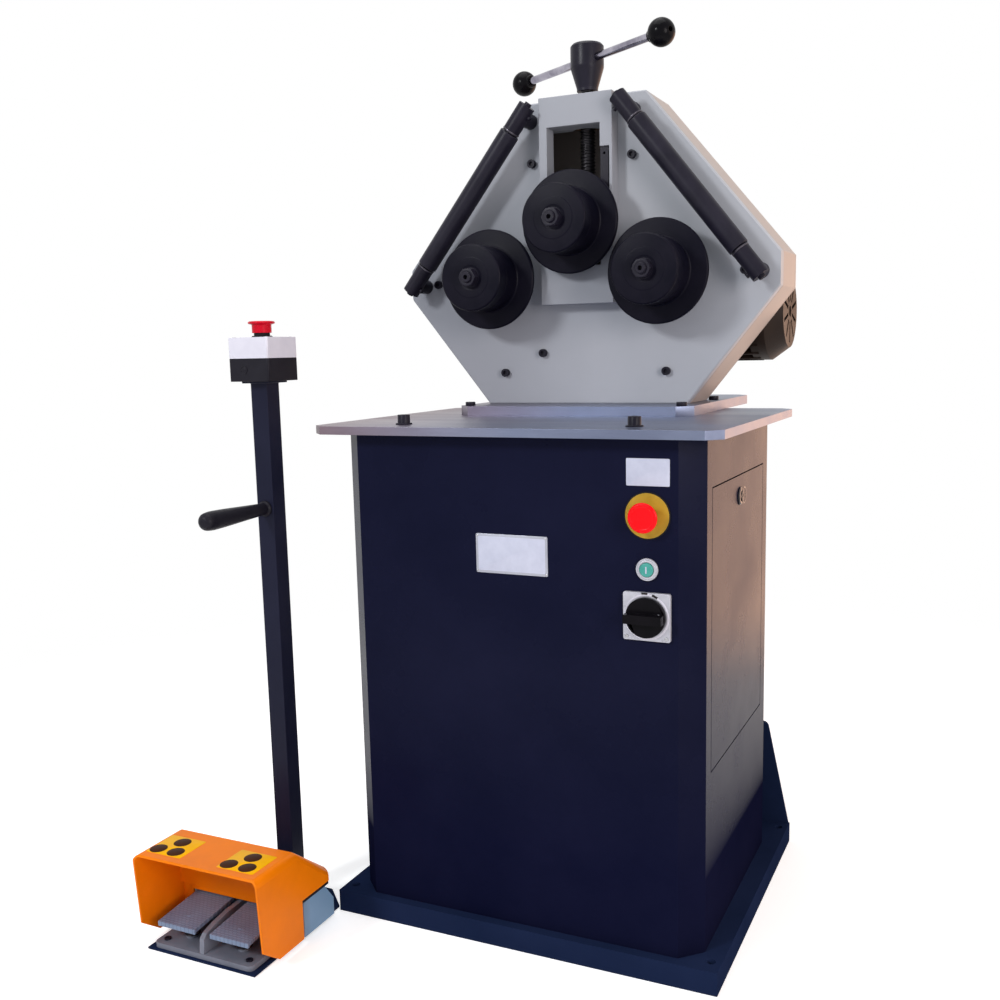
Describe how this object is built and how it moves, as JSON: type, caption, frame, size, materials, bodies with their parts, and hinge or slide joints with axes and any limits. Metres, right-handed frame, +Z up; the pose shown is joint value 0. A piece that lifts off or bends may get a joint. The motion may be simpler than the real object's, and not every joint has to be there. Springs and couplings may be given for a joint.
{
  "type": "ring roller",
  "caption": "Three-roll ring bender on a sheet cabinet, with a hand-fed top roll, guide rollers, motor drive and a separate guarded pedal console.",
  "frame": {"origin": "on the floor, in the middle of the four anchor holes of the machine's base", "axes": "+Z up, +Y from the operator to the back, +X to the operator's right"},
  "size_m": [0.8245, 0.836, 1.33],
  "materials": {
    "navy_paint": "gloss powder coat",
    "cream_paint": "satin paint",
    "machined_steel": "machined",
    "black_steel": "blackened",
    "bright_steel": "ground",
    "chrome": "polished",
    "bronze": "machined",
    "gear_steel": "oiled",
    "motor_black": "matt",
    "black_plastic": "moulded",
    "knob_black": "gloss",
    "red_plastic": "gloss",
    "yellow_plastic": "gloss",
    "green_plastic": "gloss",
    "white_plastic": "gloss",
    "silver_plastic": "satin",
    "orange_paint": "gloss",
    "grey_cast": "stippled",
    "zinc_panel": "galvanised"
  },
  "bodies": {
    "machine": {"base_plate": "navy_paint", "cabinet_shell": "navy_paint", "cabinet_back_cover": "navy_paint", "table_plate": "machined_steel", "sole_plate": "machined_steel", "cap_screws": "black_steel", "front_plate": "cream_paint", "head_housing": "cream_paint", "housing_rear_cover": "cream_paint", "slide_housing": "cream_paint", "slide_gib": "black_steel", "feed_nut": "bronze", "roll_bearings": "bright_steel", "gearbox_case": "motor_black", "motor_body": "motor_black", "motor_fan_cover": "motor_black", "terminal_box": "motor_black", "guide_studs": "black_steel", "guide_shafts": "black_steel", "estop_collar": "yellow_plastic", "start_bezel": "silver_plastic", "switch_plate": "silver_plastic", "electrical_panel": "zinc_panel"},
    "carriage": {"carriage": "black_steel"},
    "feed": {"feed_screw": "bright_steel", "handle_hub": "black_steel", "handle_bar": "chrome", "ball_knobs": "knob_black"},
    "top_roll": {"top_roll_shaft": "black_steel", "top_roll": "black_steel", "top_roll_nut": "black_steel"},
    "left_roll": {"left_roll_shaft": "black_steel", "left_roll": "black_steel", "left_roll_nut": "black_steel", "left_gear": "gear_steel"},
    "right_roll": {"right_roll_shaft": "black_steel", "right_roll": "black_steel", "right_roll_nut": "black_steel", "right_gear": "gear_steel"},
    "pinion": {"drive_pinion": "gear_steel"},
    "motor_rotor": {"motor_fan": "black_plastic"},
    "left_guide": {"left_guide_sleeve": "black_steel"},
    "right_guide": {"right_guide_sleeve": "black_steel"},
    "door": {"cabinet_door": "navy_paint"},
    "door_lock": {"door_lock": "chrome"},
    "estop_stem": {"estop_stem": "black_plastic"},
    "estop_cap": {"estop_cap": "red_plastic"},
    "start_button": {"start_button": "green_plastic"},
    "switch_knob": {"switch_knob": "black_plastic"},
    "console": {"console_base_plate": "navy_paint", "console_pole": "navy_paint", "console_handle": "black_plastic", "pedal_base": "grey_cast", "pedal_guard": "orange_paint", "console_box": "black_plastic", "console_lid": "white_plastic"},
    "left_pedal": {"left_pedal": "grey_cast"},
    "right_pedal": {"right_pedal": "grey_cast"},
    "console_estop_stem": {"console_estop_stem": "black_plastic"},
    "console_estop_cap": {"console_estop_cap": "red_plastic"}
  },
  "joints": [
    {"name": "carriage_slide", "type": "slide", "parent": "machine", "child": "carriage", "axis": [0, 0, 1], "range_m": [-0.01, 0.09]},
    {"name": "screw_turn", "type": "hinge", "parent": "carriage", "child": "feed", "pos_m": [0, 0.087, 1.2], "axis": [0, 0, 1], "range_deg": [-720, 6480]},
    {"name": "top_roll_spin", "type": "hinge", "parent": "carriage", "child": "top_roll", "pos_m": [0, 0, 1.054], "axis": [0, 1, 0], "continuous": true},
    {"name": "motor_spin", "type": "hinge", "parent": "machine", "child": "motor_rotor", "pos_m": [0.2, 0.272, 0.9164], "axis": [1, 0, 0], "continuous": true},
    {"name": "pinion_spin", "type": "hinge", "parent": "machine", "child": "pinion", "pos_m": [0, 0, 0.9164], "axis": [0, 1, 0], "continuous": true},
    {"name": "left_roll_spin", "type": "hinge", "parent": "machine", "child": "left_roll", "pos_m": [-0.1385, 0, 0.974], "axis": [0, 1, 0], "continuous": true},
    {"name": "right_roll_spin", "type": "hinge", "parent": "machine", "child": "right_roll", "pos_m": [0.1385, 0, 0.974], "axis": [0, 1, 0], "continuous": true},
    {"name": "left_guide_spin", "type": "hinge", "parent": "machine", "child": "left_guide", "pos_m": [-0.0728, 0.017, 1.233], "axis": [-0.6222, 0, -0.7828], "continuous": true},
    {"name": "right_guide_spin", "type": "hinge", "parent": "machine", "child": "right_guide", "pos_m": [0.0728, 0.017, 1.233], "axis": [0.6222, 0, -0.7828], "continuous": true},
    {"name": "door_swing", "type": "hinge", "parent": "machine", "child": "door", "pos_m": [0.2665, 0.118, 0.4815], "axis": [0, 0, 1], "range_deg": [0, 110]},
    {"name": "lock_turn", "type": "hinge", "parent": "door", "child": "door_lock", "pos_m": [0.2715, -0.0265, 0.647], "axis": [1, 0, 0], "range_deg": [0, 90]},
    {"name": "estop_push", "type": "slide", "parent": "machine", "child": "estop_stem", "axis": [0, 1, 0], "range_m": [0, 0.004]},
    {"name": "estop_twist", "type": "hinge", "parent": "estop_stem", "child": "estop_cap", "pos_m": [0.2, -0.25, 0.646], "axis": [0, -1, 0], "range_deg": [0, 45], "stiffness_Nm_per_rad": 0.05},
    {"name": "start_push", "type": "slide", "parent": "machine", "child": "start_button", "axis": [0, 1, 0], "range_m": [0, 0.003], "stiffness_N_per_m": 500},
    {"name": "switch_turn", "type": "hinge", "parent": "machine", "child": "switch_knob", "pos_m": [0.2, -0.25, 0.512], "axis": [0, 1, 0], "range_deg": [0, 90]},
    {"name": "console_slide", "type": "slide", "parent": "machine", "child": "console", "axis": [-1, 0, 0], "range_m": [0, 0.5]},
    {"name": "left_pedal_press", "type": "hinge", "parent": "console", "child": "left_pedal", "pos_m": [-0.4535, -0.365, 0.032], "axis": [1, 0, 0], "range_deg": [0, 12], "stiffness_Nm_per_rad": 1.5, "springref_deg": -17.19},
    {"name": "right_pedal_press", "type": "hinge", "parent": "console", "child": "right_pedal", "pos_m": [-0.3535, -0.365, 0.032], "axis": [1, 0, 0], "range_deg": [0, 12], "stiffness_Nm_per_rad": 1.5, "springref_deg": -17.19},
    {"name": "console_estop_push", "type": "slide", "parent": "console", "child": "console_estop_stem", "axis": [0, 0, -1], "range_m": [0, 0.004]},
    {"name": "console_estop_twist", "type": "hinge", "parent": "console_estop_stem", "child": "console_estop_cap", "pos_m": [-0.4035, -0.235, 0.903], "axis": [0, 0, 1], "range_deg": [0, 45], "stiffness_Nm_per_rad": 0.05}
  ],
  "couplings": [
    {"joint": "carriage_slide", "follows": "screw_turn", "m_per_rad": 0.00079577},
    {"joint": "pinion_spin", "follows": "motor_spin", "ratio": 0.0125},
    {"joint": "left_roll_spin", "follows": "motor_spin", "ratio": -0.0070313},
    {"joint": "right_roll_spin", "follows": "motor_spin", "ratio": -0.0070313}
  ]
}
